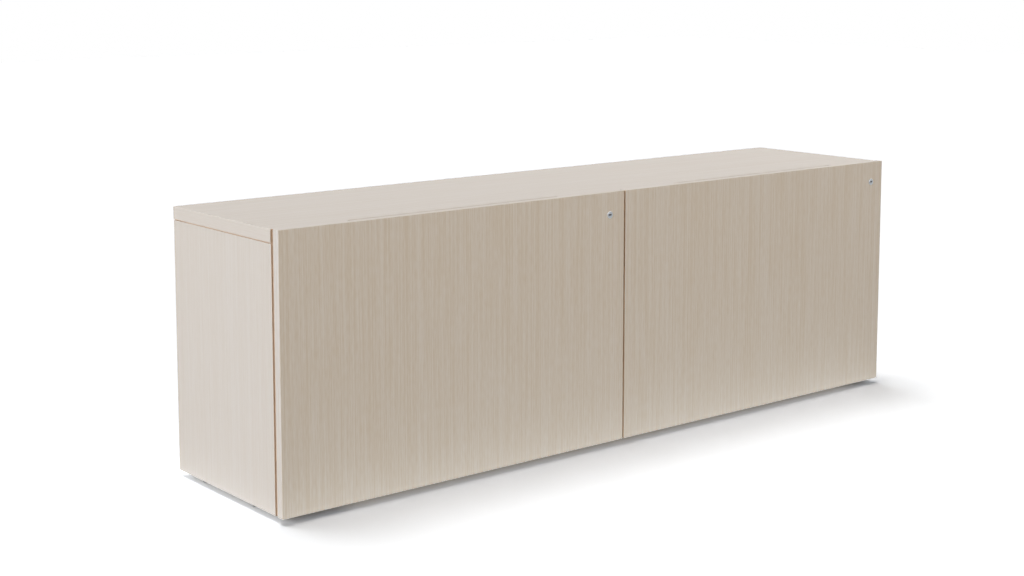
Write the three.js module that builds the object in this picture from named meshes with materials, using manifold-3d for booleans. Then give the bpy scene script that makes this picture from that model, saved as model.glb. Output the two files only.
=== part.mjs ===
// A low office credenza: one long case with two bays, each filled by a wide lateral filing drawer.
// Millimetres, +Z up. The origin is on the floor under the middle of the whole cabinet, +X runs along its
// length to the right as seen from the front, and the drawer fronts face -Y.
import * as THREE from "three";
import { RoundedBoxGeometry } from "three/addons/geometries/RoundedBoxGeometry.js";
import { mergeVertices } from "three/addons/utils/BufferGeometryUtils.js";
import Module from "manifold-3d";

const wasm = await Module();
wasm.setup();

// Whole cabinet
const WIDTH = 1829; // over the top, which the outer edges of the fronts line up with
const DEPTH = 430; // from the faces of the fronts to the back edge of the top
const HEIGHT = 592.5; // from the floor to the top edges of the fronts
const FLOOR_GAP = 12.5; // from the floor to the lower edges of the fronts and the case

// Boards of the case
const TOP_THICK = 27.5;
const END_THICK = 19;
const PARTITION_THICK = 19;
const BOTTOM_THICK = 19;
const BACK_THICK = 12;
const BACK_INSET = 2; // the back lies this far inside the rear edges of the end panels
const BACK_LAP = 9; // depth of the rabbets that hold the back
const EDGE_ROUND = 1.2; // softened edges of the laminated boards
const TOP_OVERHANG = 1; // the top past the outer faces of the end panels
const REVEAL_HEIGHT = 2; // shadow groove between the top and an end panel
const REVEAL_DEPTH = 3;
const SHADOW_DEPTH = 3.5; // shadow groove behind a front, down the outer face of an end panel
const SHADOW_PAST = 1.5; // that groove reaches so far behind the front edges of the inner boards

// Drawer fronts
const FRONT_THICK = 20;
const FRONT_RISE = 1; // top edges of the fronts above the top surface
const FRONT_GAP = 7.8; // between the backs of the fronts and the front edges of the inner boards
const CLOSING_GAP = 1; // between the backs of the fronts and the tongues on the top and the end panels
const CENTRE_GAP = 4; // between the two fronts
const GRIP_RADIUS = 9; // finger groove routed behind the top edge of a front
const GRIP_DEPTH = 6;
const GRIP_DROP = 19; // from the top edge of the front to the middle of the groove
const GRIP_LENGTH = 560;
const NOTCH_CORNER = 6; // finger notch in the top's front edge, as long as the groove
const NOTCH_CHAMFER = 1.5;

// Drawer boxes
const BOX_BOARD = 15;
const BOX_HEIGHT = 330;
const BOX_ROUND = 1.5;
const BOX_FLOOR_CLEARANCE = 14; // between the bottom panel and the lower edges of a box
const BOX_BACK_CLEARANCE = 10; // between the back of a box and the counterweight
const BOX_BOTTOM_THICK = 9;
const BOX_BOTTOM_RISE = 12; // from the lower edges of the box to its bottom
const GROOVE_DEPTH = 6; // grooves that hold the bottom of the box

// Rails for hanging folders
const FILE_RAIL_GAUGE = 2;
const FILE_RAIL_FLANGE = 15;
const FILE_RAIL_REACH = 9; // from the wood to the middle of the upright lip
const FILE_RAIL_LIP = 12;
const FILE_RAIL_DROP = 4; // from the top edge of the box to the top of the lip
const FILE_RAIL_BEND = 2;

// Three-part telescopic slides
const SLIDE_SPACE = 12.7; // between a wall of the bay and the side of the box
const SLIDE_HEIGHT = 53;
const SLIDE_GAUGE = 1.2;
const SLIDE_BEND = 1.4;
const SLIDE_RISE = 150; // from the lower edge of the box to the middle of the slide
const SLIDE_SETBACK = 2.5; // behind the front edge of the case
const SLIDE_END_GAP = 3; // from the rear end of a slide to the back of the box
const SLIDE_RUN = 0.4; // running clearance between the webs
const CABINET_RAIL_REACH = 9.4; // from the wall to the lips
const MIDDLE_RAIL_REACH = 10.7;
const SLIDE_LIP = 1.2; // lips that keep the balls in their races
const STOP_HEIGHT = 16; // tab folded across the rear end of a cabinet rail
const BALL_DIAMETER = 3.8;
const BALL_PLAY = 0.1;
const BALLS_PER_ROW = 3;
const CAGE_LENGTH = 140;
const CAGE_GAUGE = 0.6;

// Locks
const LOCK_DROP = 52; // from the top edge of the front to the axis
const LOCK_INSET = 44; // from the right edge of the front to the axis
const LOCK_PROUD = 1.2; // bezel ahead of the front
const BEZEL_DIAMETER = 16.5;
const BEZEL_CHAMFER = 0.5;
const BARREL_DIAMETER = 14.6;
const PLUG_HEAD_DIAMETER = 12.8;
const PLUG_HEAD_LENGTH = 4;
const PLUG_RECESS = 0.3; // face of the plug behind the face of the bezel
const PLUG_DIAMETER = 9.4;
const PLUG_PLAY = 0.15;
const PLUG_TAIL = 6.5; // square that carries the cam
const TAIL_PAST_CAM = 1.5;
const KEY_SLOT_LENGTH = 9.4;
const KEY_SLOT_WIDTH = 2.8;
const KEY_SLOT_DEPTH = 12;
const NUT_FLATS = 19;
const NUT_THICK = 4;
const CAM_THICK = 2.5;
const CAM_RADIUS = 6.5; // half the width of the cam
const CAM_CORNER = 3;
const CAM_CLEARANCE = 1.4; // from the tip of the raised cam to the strike's upper leg
const CAM_PLAY = 2; // from the strike to the raised cam

// Strikes under the top
const STRIKE_GAUGE = 2;
const STRIKE_BEND = 2;
const STRIKE_SETBACK = 0.8; // behind the back of the finger notches
const STRIKE_LEG = 24;
const STRIKE_LAP = 8; // how far the strike reaches down over the raised cam
const STRIKE_WIDTH = 40;

// Counterweight bars
const WEIGHT_THICK = 22;
const WEIGHT_HEIGHT = 150;
const WEIGHT_END_GAP = 20; // from each end of a bar to the wall of its bay
const WEIGHT_CORNER = 6;
const WEIGHT_BOLT_DIAMETER = 9;
const WEIGHT_BOLT_INSET = 60; // from each end of a bar to its outer bolt hole

// Levelling glides
const GLIDE_SIDE_INSET = 8; // from the inner face of an end panel to the axis
const GLIDE_FRONT_INSET = 115; // from the front edge of the case
const GLIDE_REAR_INSET = 80; // from the back edge of the case
const FOOT_DIAMETER = 24;
const FOOT_HEIGHT = 6;
const FOOT_ROUND = 1.5;
const FOOT_SHOULDER = 16; // diameter of the foot's top
const COLLAR_FLATS = 13;
const STEM_DIAMETER = 8;
const STEM_PLAY = 0.3;
const STEM_SHORT = 3; // from the top of the stem to the upper face of the bottom panel

const SEAT = 0.2; // hairline between pieces that touch
const OVERCUT = 1; // how far a cutting tool runs past the surface that it opens
const ROUND_SIDES = 20; // facets round a turned piece
const ARC_STEPS = 4; // pairs of facets in an arc of a flat section
const EDGE_STEPS = 2; // facets in each half of a rounded board edge
const BOX_STEPS = 1;

// Planes and edges worked out from the sizes above
const frontFace = (LOCK_PROUD - DEPTH) / 2;
const backFace = frontFace + DEPTH;
const frontBack = frontFace + FRONT_THICK;
const caseFront = frontBack + FRONT_GAP;
const tongueFront = frontBack + CLOSING_GAP;
const notchBack = caseFront + SHADOW_PAST;
const topSurface = HEIGHT - FRONT_RISE;
const topUnder = topSurface - TOP_THICK;
const bottomTop = FLOOR_GAP + BOTTOM_THICK;
const endOuter = WIDTH / 2 - TOP_OVERHANG;
const endInner = endOuter - END_THICK;
const shadowFloor = endOuter - SHADOW_DEPTH;
const partitionFace = PARTITION_THICK / 2;
const backRear = backFace - BACK_INSET;
const backFront = backRear - BACK_THICK;
const bayWidth = endInner - partitionFace;
const bayMiddle = (endInner + partitionFace) / 2;
const frontWidth = (WIDTH - CENTRE_GAP) / 2;
const frontHeight = HEIGHT - FLOOR_GAP;
const frontMiddle = (CENTRE_GAP + frontWidth) / 2;
const weightRear = backFront - SEAT;
const boxRear = weightRear - WEIGHT_THICK - BOX_BACK_CLEARANCE;
const boxFront = frontBack + SEAT;
const boxFoot = bottomTop + BOX_FLOOR_CLEARANCE;
const boxTop = boxFoot + BOX_HEIGHT;
const boxWidth = bayWidth - 2 * SLIDE_SPACE;
const slideFront = caseFront + SLIDE_SETBACK;
const slideRear = boxRear - SLIDE_END_GAP;
const lockHeight = HEIGHT - LOCK_DROP;
const strikeFront = notchBack + STRIKE_SETBACK;
const camFront = strikeFront + STRIKE_GAUGE + CAM_PLAY;
const BAYS = [
  { name: "left", side: -1 },
  { name: "right", side: 1 },
];

const finish = (color, roughness, metalness) => new THREE.MeshStandardMaterial({ color, roughness, metalness });
const LAMINATE = finish(0xd2c9be, 0.45, 0);
const BOX_WOOD = finish(0xd9d3c9, 0.55, 0);
const ZINC = finish(0xb4b7ba, 0.35, 1);
const LOCK_METAL = finish(0xb2b4b6, 0.3, 1);
const DARK_STEEL = finish(0x3a3a3c, 0.6, 0.6);
const CAGE_STEEL = finish(0x9a9da0, 0.3, 1);
const FOOT_PLASTIC = finish(0x4a4038, 0.6, 0);

// A closed three.js geometry as a solid that can be cut and joined, and back again.
function solidOf(geometry) {
  const loose = geometry.index ? geometry.toNonIndexed() : geometry;
  const bare = new THREE.BufferGeometry().setAttribute("position", loose.getAttribute("position"));
  const merged = mergeVertices(bare, 1e-4);
  const triVerts = new Uint32Array(merged.index.array);
  return new wasm.Manifold(
    new wasm.Mesh({ numProp: 3, vertProperties: merged.getAttribute("position").array, triVerts }),
  );
}

function geometryOf(solid) {
  const mesh = solid.getMesh();
  return new THREE.BufferGeometry()
    .setAttribute("position", new THREE.BufferAttribute(mesh.vertProperties, mesh.numProp))
    .setIndex(new THREE.BufferAttribute(mesh.triVerts, 1));
}

const cut = (geometry, tools) =>
  geometryOf(tools.reduce((solid, tool) => solid.subtract(solidOf(tool)), solidOf(geometry)));

const join = (geometry, others) =>
  geometryOf(others.reduce((solid, other) => solid.add(solidOf(other)), solidOf(geometry)));

function addPiece(group, name, geometry, material) {
  const mesh = new THREE.Mesh(geometry, material.clone());
  mesh.name = name;
  group.add(mesh);
  return mesh;
}

// A board between two opposite corners, with square edges or, given a radius, rounded ones.
function board(low, high, round = 0, steps = EDGE_STEPS) {
  const [x, y, z] = low.map((value, i) => high[i] - value);
  const [cx, cy, cz] = low.map((value, i) => (value + high[i]) / 2);
  const geometry = round ? new RoundedBoxGeometry(x, y, z, steps, round) : new THREE.BoxGeometry(x, y, z);
  return geometry.translate(cx, cy, cz);
}

const boxBoard = (low, high) => board(low, high, BOX_ROUND, BOX_STEPS);

// A round bar along Y, centred on the origin.
const roundBar = (diameter, length) =>
  new THREE.CylinderGeometry(diameter / 2, diameter / 2, length, ROUND_SIDES);

// A section drawn in X and Z, carried along Y from one place to another.
function alongY(section, from, to, curveSegments = ARC_STEPS) {
  const geometry = new THREE.ExtrudeGeometry(section, { depth: to - from, bevelEnabled: false, curveSegments });
  return geometry.rotateX(Math.PI / 2).translate(0, to, 0);
}

// A section drawn in Y and Z, carried along X from one place to another.
function alongX(section, from, to) {
  const geometry = new THREE.ExtrudeGeometry(section, { depth: to - from, bevelEnabled: false });
  const turn = new THREE.Matrix4().makeBasis(
    new THREE.Vector3(0, 1, 0),
    new THREE.Vector3(0, 0, 1),
    new THREE.Vector3(1, 0, 0),
  );
  return geometry.applyMatrix4(turn).translate(from, 0, 0);
}

// The section of a sheet folded along a centre line: every fold is rounded, and both faces keep half the
// gauge from the line.
function foldedSheet(corners, gauge, bend) {
  const points = corners.map(([x, y]) => new THREE.Vector2(x, y));
  const line = new THREE.Path().moveTo(points[0].x, points[0].y);
  for (let i = 1; i < points.length - 1; i++) {
    const into = points[i].clone().addScaledVector(points[i - 1].clone().sub(points[i]).normalize(), bend);
    const out = points[i].clone().addScaledVector(points[i + 1].clone().sub(points[i]).normalize(), bend);
    line.lineTo(into.x, into.y);
    line.quadraticCurveTo(points[i].x, points[i].y, out.x, out.y);
  }
  line.lineTo(points.at(-1).x, points.at(-1).y);
  const centre = line.getPoints(2);
  const normalAt = (i) => {
    const step = centre[i + 1].clone().sub(centre[i]).normalize();
    return new THREE.Vector2(-step.y, step.x);
  };
  const offset = (side) =>
    centre.map((point, i) => {
      const before = normalAt(Math.max(i - 1, 0));
      const after = normalAt(Math.min(i, centre.length - 2));
      const mitre = before.clone().add(after).divideScalar(1 + before.dot(after));
      return point.clone().addScaledVector(mitre, (side * gauge) / 2);
    });
  return new THREE.Shape([...offset(1), ...offset(-1).reverse()]);
}

// A rectangle in two directions with rounded corners.
function roundedRectangle(width, height, corner) {
  const x = width / 2;
  const y = height / 2;
  return new THREE.Shape()
    .absarc(x - corner, y - corner, corner, 0, Math.PI / 2)
    .absarc(corner - x, y - corner, corner, Math.PI / 2, Math.PI)
    .absarc(corner - x, corner - y, corner, Math.PI, 1.5 * Math.PI)
    .absarc(x - corner, corner - y, corner, 1.5 * Math.PI, 2 * Math.PI);
}

function hexagon(flats) {
  const radius = flats / Math.sqrt(3);
  const corners = [0, 1, 2, 3, 4, 5].map(
    (i) => new THREE.Vector2(radius * Math.cos((i * Math.PI) / 3), radius * Math.sin((i * Math.PI) / 3)),
  );
  return new THREE.Shape(corners);
}

const roundHole = (diameter, x = 0, y = 0) => new THREE.Path().absarc(x, y, diameter / 2, 0, 2 * Math.PI);

const glideSpots = () => {
  const rows = { front: caseFront + GLIDE_FRONT_INSET, rear: backFace - GLIDE_REAR_INSET };
  const columns = { left: GLIDE_SIDE_INSET - endInner, centre: 0, right: endInner - GLIDE_SIDE_INSET };
  return Object.entries(columns).flatMap(([column, x]) =>
    Object.entries(rows).map(([row, y]) => ({ name: `${column}_${row}_glide`, x, y })),
  );
};

// A span on one side of the cabinet, from two distances from its middle.
const across = (side, a, b) => [Math.min(side * a, side * b), Math.max(side * a, side * b)];

// An end panel stands under the top. A groove along its upper outer edge leaves the shadow line under the top,
// one down its front outer edge leaves the line behind the drawer front, and a rabbet down its rear inner edge
// takes the back.
function endPanel(side) {
  const [x0, x1] = across(side, endInner, endOuter);
  const [reveal0, reveal1] = across(side, endOuter - REVEAL_DEPTH, endOuter + OVERCUT);
  const [shadow0, shadow1] = across(side, shadowFloor, endOuter + OVERCUT);
  const [rabbet0, rabbet1] = across(side, endInner - OVERCUT, endInner + BACK_LAP);
  const panel = board([x0, tongueFront, FLOOR_GAP], [x1, backFace, topUnder - SEAT], EDGE_ROUND);
  const reveal = board(
    [reveal0, tongueFront - OVERCUT, topUnder - REVEAL_HEIGHT],
    [reveal1, backFace + OVERCUT, topUnder + OVERCUT],
  );
  const shadow = board(
    [shadow0, tongueFront - OVERCUT, FLOOR_GAP - OVERCUT],
    [shadow1, notchBack, topUnder + OVERCUT],
  );
  const rabbet = board(
    [rabbet0, backFront - SEAT, FLOOR_GAP - OVERCUT],
    [rabbet1, backFace + OVERCUT, topUnder + OVERCUT],
  );
  return cut(panel, [reveal, shadow, rabbet]);
}

// The top reaches almost to the backs of the fronts. Its front corners carry on the shadow grooves of the end
// panels, and a notch behind each front, chamfered along its upper edge, lets the fingertips in.
function topPanel() {
  const slab = board([-WIDTH / 2, tongueFront, topUnder], [WIDTH / 2, backFace, topSurface], EDGE_ROUND);
  const notch = roundedRectangle(GRIP_LENGTH, 2 * (notchBack - tongueFront), NOTCH_CORNER);
  const chamfer = new THREE.Shape([
    new THREE.Vector2(notchBack - OVERCUT, topSurface - NOTCH_CHAMFER - OVERCUT),
    new THREE.Vector2(notchBack + NOTCH_CHAMFER + OVERCUT, topSurface + OVERCUT),
    new THREE.Vector2(notchBack - OVERCUT, topSurface + OVERCUT),
  ]);
  const tools = BAYS.flatMap(({ side }) => {
    const [corner0, corner1] = across(side, shadowFloor, WIDTH / 2 + OVERCUT);
    const middle = side * frontMiddle;
    const reach = GRIP_LENGTH / 2 - NOTCH_CORNER;
    return [
      board([corner0, tongueFront - OVERCUT, topUnder - OVERCUT], [corner1, notchBack, topSurface + OVERCUT]),
      new THREE.ExtrudeGeometry(notch, { depth: TOP_THICK + 2 * OVERCUT, bevelEnabled: false }).translate(
        middle,
        tongueFront,
        topUnder - OVERCUT,
      ),
      alongX(chamfer, middle - reach, middle + reach),
    ];
  });
  return cut(slab, tools);
}

function bottomPanel() {
  const half = endInner - SEAT;
  const panel = board([-half, caseFront, FLOOR_GAP], [half, backFront - SEAT, bottomTop]);
  const bores = glideSpots().map(({ x, y }) =>
    roundBar(STEM_DIAMETER + 2 * STEM_PLAY, BOTTOM_THICK + 2 * OVERCUT)
      .rotateX(Math.PI / 2)
      .translate(x, y, FLOOR_GAP + BOTTOM_THICK / 2),
  );
  return cut(panel, bores);
}

function addCase(group) {
  addPiece(group, "top_panel", topPanel(), LAMINATE);
  for (const { name, side } of BAYS) addPiece(group, `${name}_end_panel`, endPanel(side), LAMINATE);
  const partition = board(
    [-partitionFace, caseFront, bottomTop + SEAT],
    [partitionFace, backFront - SEAT, topUnder - SEAT],
  );
  addPiece(group, "centre_partition", partition, LAMINATE);
  addPiece(group, "bottom_panel", bottomPanel(), LAMINATE);
  const backHalf = endInner + BACK_LAP - SEAT;
  const back = board([-backHalf, backFront, FLOOR_GAP], [backHalf, backRear, topUnder - SEAT]);
  addPiece(group, "back_panel", back, LAMINATE);
}

// A steel bar stands on the bottom panel against the back, bolted through to it in three places.
function counterweight() {
  const length = bayWidth - 2 * WEIGHT_END_GAP;
  const section = roundedRectangle(length, WEIGHT_HEIGHT, WEIGHT_CORNER);
  const reach = length / 2 - WEIGHT_BOLT_INSET;
  section.holes.push(...[-reach, 0, reach].map((x) => roundHole(WEIGHT_BOLT_DIAMETER, x)));
  return alongY(section, weightRear - WEIGHT_THICK, weightRear).translate(
    0,
    0,
    bottomTop + SEAT + WEIGHT_HEIGHT / 2,
  );
}

// The five parts of one slide, drawn from the wall of the bay (0) towards the box. hand is 1 where the wall is
// on the left of the box and -1 where it is on the right.
function slideParts(hand) {
  const half = SLIDE_HEIGHT / 2;
  const ballRoom = BALL_DIAMETER + 2 * BALL_PLAY;
  const cabinetWeb = SEAT + SLIDE_GAUGE / 2;
  const outerCageWeb = cabinetWeb + (SLIDE_GAUGE + CAGE_GAUGE) / 2 + SLIDE_RUN;
  const middleWeb = outerCageWeb + (SLIDE_GAUGE + CAGE_GAUGE) / 2 + SLIDE_RUN;
  const innerCageWeb = middleWeb + (SLIDE_GAUGE + CAGE_GAUGE) / 2 + SLIDE_RUN;
  const drawerWeb = SLIDE_SPACE - SEAT - SLIDE_GAUGE / 2;
  const cabinetFlange = half - SLIDE_GAUGE / 2;
  const middleFlange = cabinetFlange - SLIDE_GAUGE - ballRoom;
  const drawerFlange = middleFlange - SLIDE_GAUGE - ballRoom;
  const outerBalls = (cabinetFlange + middleFlange) / 2;
  const innerBalls = (middleFlange + drawerFlange) / 2;
  const cabinetLip = CABINET_RAIL_REACH - SLIDE_GAUGE / 2;
  const middleLip = MIDDLE_RAIL_REACH - SLIDE_GAUGE / 2;
  const drawerTip = innerCageWeb + CAGE_GAUGE / 2 + SLIDE_RUN;
  const lipEnd = SLIDE_LIP + SLIDE_GAUGE / 2;

  const channel = (web, flange, edge, lip, gauge) => {
    const upper = lip ? [[edge, flange - lip], [edge, flange]] : [[edge, flange]];
    const lower = upper.map(([u, z]) => [u, -z]).reverse();
    const line = [...upper, [web, flange], [web, -flange], ...lower].map(([u, z]) => [hand * u, z]);
    return foldedSheet(line, gauge, lip ? Math.min(SLIDE_BEND, lip / 2) : SLIDE_BEND);
  };
  const cage = (web, tip, level, race) => {
    const middle = (slideFront + slideRear) / 2;
    const strip = alongY(
      channel(web, level, tip, 0, CAGE_GAUGE),
      middle - CAGE_LENGTH / 2,
      middle + CAGE_LENGTH / 2,
    );
    const pitch = CAGE_LENGTH / BALLS_PER_ROW;
    const balls = [];
    for (let i = 0; i < BALLS_PER_ROW; i++) {
      const y = middle + (i + 0.5) * pitch - CAGE_LENGTH / 2;
      for (const z of [-level, level]) {
        balls.push(new THREE.IcosahedronGeometry(BALL_DIAMETER / 2).translate(hand * race, y, z));
      }
    }
    return join(strip, balls);
  };

  const cabinetRail = alongY(
    channel(cabinetWeb, cabinetFlange, cabinetLip, lipEnd, SLIDE_GAUGE),
    slideFront,
    slideRear,
  );
  const stopEdges = [hand * cabinetWeb, hand * (innerCageWeb + CAGE_GAUGE / 2)].sort((a, b) => a - b);
  const stop = board(
    [stopEdges[0], slideRear - SLIDE_GAUGE, -STOP_HEIGHT / 2],
    [stopEdges[1], slideRear, STOP_HEIGHT / 2],
  );
  const middleRear = slideRear - SLIDE_GAUGE - SLIDE_RUN;
  return {
    cabinet_rail: join(cabinetRail, [stop]),
    outer_ball_cage: cage(
      outerCageWeb,
      cabinetLip - SLIDE_GAUGE / 2 - SLIDE_RUN,
      outerBalls,
      (outerCageWeb + cabinetLip - SLIDE_GAUGE / 2) / 2,
    ),
    middle_rail: alongY(
      channel(middleWeb, middleFlange, middleLip, lipEnd, SLIDE_GAUGE),
      slideFront,
      middleRear,
    ),
    inner_ball_cage: cage(
      innerCageWeb,
      middleLip - SLIDE_GAUGE / 2 - SLIDE_RUN,
      innerBalls,
      (innerCageWeb + middleLip - SLIDE_GAUGE / 2) / 2,
    ),
    drawer_rail: alongY(channel(drawerWeb, drawerFlange, drawerTip, 0, SLIDE_GAUGE), slideFront, slideRear),
  };
}

function addSlides(group, bay) {
  for (const [place, hand] of [["left", 1], ["right", -1]]) {
    for (const [part, geometry] of Object.entries(slideParts(hand))) {
      const material = part.endsWith("cage") ? CAGE_STEEL : ZINC;
      const mesh = addPiece(group, `${bay.name}_drawer_${place}_${part}`, geometry, material);
      mesh.position.set((-hand * bayWidth) / 2, 0, boxFoot + SLIDE_RISE);
    }
  }
}

// The front hides its own bay and half of the boards beside it, so its middle is off the middle of the bay.
function drawerFront(bay) {
  const middle = bay.side * (frontMiddle - bayMiddle);
  const lockAcross = lockPlace(bay);
  const slab = board(
    [middle - frontWidth / 2, frontFace, FLOOR_GAP],
    [middle + frontWidth / 2, frontBack, HEIGHT],
    EDGE_ROUND,
  );
  const lockBore = roundBar(BARREL_DIAMETER + 2 * SEAT, FRONT_THICK + 2 * OVERCUT).translate(
    lockAcross,
    (frontFace + frontBack) / 2,
    lockHeight,
  );
  const grip = new THREE.CapsuleGeometry(GRIP_RADIUS, GRIP_LENGTH - 2 * GRIP_RADIUS, 4, ROUND_SIDES)
    .rotateZ(Math.PI / 2)
    .translate(middle, frontBack + GRIP_RADIUS - GRIP_DEPTH, HEIGHT - GRIP_DROP);
  return cut(slab, [lockBore, grip]);
}

// Both locks are at the right end of their front. The place is measured from the middle of the bay.
function lockPlace(bay) {
  return bay.side * (frontMiddle - bayMiddle) + frontWidth / 2 - LOCK_INSET;
}

function addBox(group, bay) {
  const name = (piece) => `${bay.name}_drawer_${piece}`;
  const half = boxWidth / 2;
  const innerHalf = half - BOX_BOARD;
  const innerFront = boxFront + BOX_BOARD;
  const innerBack = boxRear - BOX_BOARD;
  const bottomLow = boxFoot + BOX_BOTTOM_RISE;
  const bottomHigh = bottomLow + BOX_BOTTOM_THICK;
  const grooveTool = (low, high) =>
    board([low[0], low[1], bottomLow - SEAT], [high[0], high[1], bottomHigh + SEAT]);

  for (const [place, side] of [["left_side", -1], ["right_side", 1]]) {
    const [x0, x1] = [side * innerHalf, side * half].sort((a, b) => a - b);
    const [g0, g1] = [side * (innerHalf - OVERCUT), side * (innerHalf + GROOVE_DEPTH)].sort((a, b) => a - b);
    const slab = boxBoard([x0, boxFront, boxFoot], [x1, boxRear, boxTop]);
    const groove = grooveTool([g0, boxFront + BOX_BOARD / 2], [g1, boxRear + OVERCUT]);
    addPiece(group, name(place), cut(slab, [groove]), BOX_WOOD);
  }
  const acrossHalf = innerHalf - SEAT;
  const frontSlab = boxBoard([-acrossHalf, boxFront, boxFoot], [acrossHalf, innerFront, boxTop]);
  const frontGroove = grooveTool([-half, innerFront - GROOVE_DEPTH], [half, innerFront + OVERCUT]);
  addPiece(group, name("inner_front"), cut(frontSlab, [frontGroove]), BOX_WOOD);
  const backSlab = boxBoard([-acrossHalf, innerBack, bottomHigh + SEAT], [acrossHalf, boxRear, boxTop]);
  addPiece(group, name("back"), backSlab, BOX_WOOD);
  const bottomHalf = innerHalf + GROOVE_DEPTH - SEAT;
  const bottom = board(
    [-bottomHalf, innerFront - GROOVE_DEPTH + SEAT, bottomLow],
    [bottomHalf, boxRear, bottomHigh],
  );
  addPiece(group, name("bottom"), bottom, BOX_WOOD);

  // Each rail has a flange on the wood, a step inwards and an upright lip that the folders hang on.
  const railFoot = FILE_RAIL_GAUGE / 2 + SEAT;
  const lipTop = boxTop - FILE_RAIL_DROP;
  const step = lipTop - FILE_RAIL_LIP;
  for (const [place, wood, inwards] of [["front", innerFront, 1], ["rear", innerBack, -1]]) {
    const line = [
      [wood + inwards * railFoot, step - FILE_RAIL_FLANGE],
      [wood + inwards * railFoot, step],
      [wood + inwards * FILE_RAIL_REACH, step],
      [wood + inwards * FILE_RAIL_REACH, lipTop],
    ];
    const rail = alongX(foldedSheet(line, FILE_RAIL_GAUGE, FILE_RAIL_BEND), -acrossHalf, acrossHalf);
    addPiece(group, name(`${place}_file_rail`), rail, ZINC);
  }
}

// A cam lock through the front. The housing ends just ahead of the cam, and the cam stands behind the strike.
function addLock(group, bay) {
  const lock = new THREE.Group();
  lock.position.set(lockPlace(bay), frontFace, lockHeight);
  group.add(lock);
  const face = -LOCK_PROUD;
  const camNear = camFront - frontFace;
  const camFar = camNear + CAM_THICK;
  const housingEnd = camNear - 2 * SEAT;
  const headEnd = face + PLUG_HEAD_LENGTH;
  const bezel = BEZEL_DIAMETER / 2;
  const barrel = BARREL_DIAMETER / 2;
  const headBore = PLUG_HEAD_DIAMETER / 2 + PLUG_PLAY;
  const bore = PLUG_DIAMETER / 2 + PLUG_PLAY;
  const turned = (profile) =>
    new THREE.LatheGeometry(profile.map(([r, y]) => new THREE.Vector2(r, y)), ROUND_SIDES);

  const housing = turned([
    [headBore, face],
    [headBore, headEnd],
    [bore, headEnd],
    [bore, housingEnd],
    [barrel, housingEnd],
    [barrel, -SEAT],
    [bezel, -SEAT],
    [bezel, face + BEZEL_CHAMFER],
    [bezel - BEZEL_CHAMFER, face],
    [headBore, face],
  ].reverse());
  addPiece(lock, `${bay.name}_lock_housing`, housing, LOCK_METAL);

  const nutSection = hexagon(NUT_FLATS);
  nutSection.holes.push(roundHole(BARREL_DIAMETER + 2 * SEAT));
  const nutNear = FRONT_THICK + SEAT;
  const nut = alongY(nutSection, nutNear, nutNear + NUT_THICK, ROUND_SIDES / 2);
  addPiece(lock, `${bay.name}_lock_nut`, nut, ZINC);

  const plugFace = face + PLUG_RECESS;
  const shoulder = camNear - SEAT;
  const plugBody = turned([
    [0, plugFace],
    [PLUG_HEAD_DIAMETER / 2, plugFace],
    [PLUG_HEAD_DIAMETER / 2, headEnd - PLUG_PLAY],
    [PLUG_DIAMETER / 2, headEnd - PLUG_PLAY],
    [PLUG_DIAMETER / 2, shoulder],
    [0, shoulder],
  ]);
  const tail = board(
    [-PLUG_TAIL / 2, shoulder - OVERCUT, -PLUG_TAIL / 2],
    [PLUG_TAIL / 2, camFar + TAIL_PAST_CAM, PLUG_TAIL / 2],
  );
  const keySlot = board(
    [-KEY_SLOT_LENGTH / 2, plugFace - OVERCUT, -KEY_SLOT_WIDTH / 2],
    [KEY_SLOT_LENGTH / 2, plugFace + KEY_SLOT_DEPTH, KEY_SLOT_WIDTH / 2],
  );
  addPiece(lock, `${bay.name}_lock_plug`, cut(join(plugBody, [tail]), [keySlot]), LOCK_METAL);

  // At rest the cam lies level, pointing left, so the drawer is unlocked.
  const reach = topUnder - SEAT - STRIKE_GAUGE - CAM_CLEARANCE - lockHeight;
  const hole = (PLUG_TAIL + 2 * SEAT) / 2;
  const camSection = new THREE.Shape()
    .absarc(0, 0, CAM_RADIUS, -Math.PI / 2, Math.PI / 2)
    .absarc(CAM_CORNER - reach, CAM_RADIUS - CAM_CORNER, CAM_CORNER, Math.PI / 2, Math.PI)
    .absarc(CAM_CORNER - reach, CAM_CORNER - CAM_RADIUS, CAM_CORNER, Math.PI, 1.5 * Math.PI);
  camSection.holes.push(
    new THREE.Path([
      new THREE.Vector2(-hole, -hole),
      new THREE.Vector2(hole, -hole),
      new THREE.Vector2(hole, hole),
      new THREE.Vector2(-hole, hole),
    ]),
  );
  addPiece(lock, `${bay.name}_lock_cam`, alongY(camSection, camNear, camFar), ZINC);
}

// A folded angle under the top: its hanging leg is ahead of the raised cam and clear above the level one.
function lockStrike(bay) {
  const upper = topUnder - SEAT - STRIKE_GAUGE / 2;
  const lower = topUnder - SEAT - STRIKE_GAUGE - CAM_CLEARANCE - STRIKE_LAP;
  const leg = strikeFront + STRIKE_GAUGE / 2;
  const line = [[leg, lower], [leg, upper], [leg + STRIKE_LEG, upper]];
  const middle = lockPlace(bay);
  return alongX(
    foldedSheet(line, STRIKE_GAUGE, STRIKE_BEND),
    middle - STRIKE_WIDTH / 2,
    middle + STRIKE_WIDTH / 2,
  );
}

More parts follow.
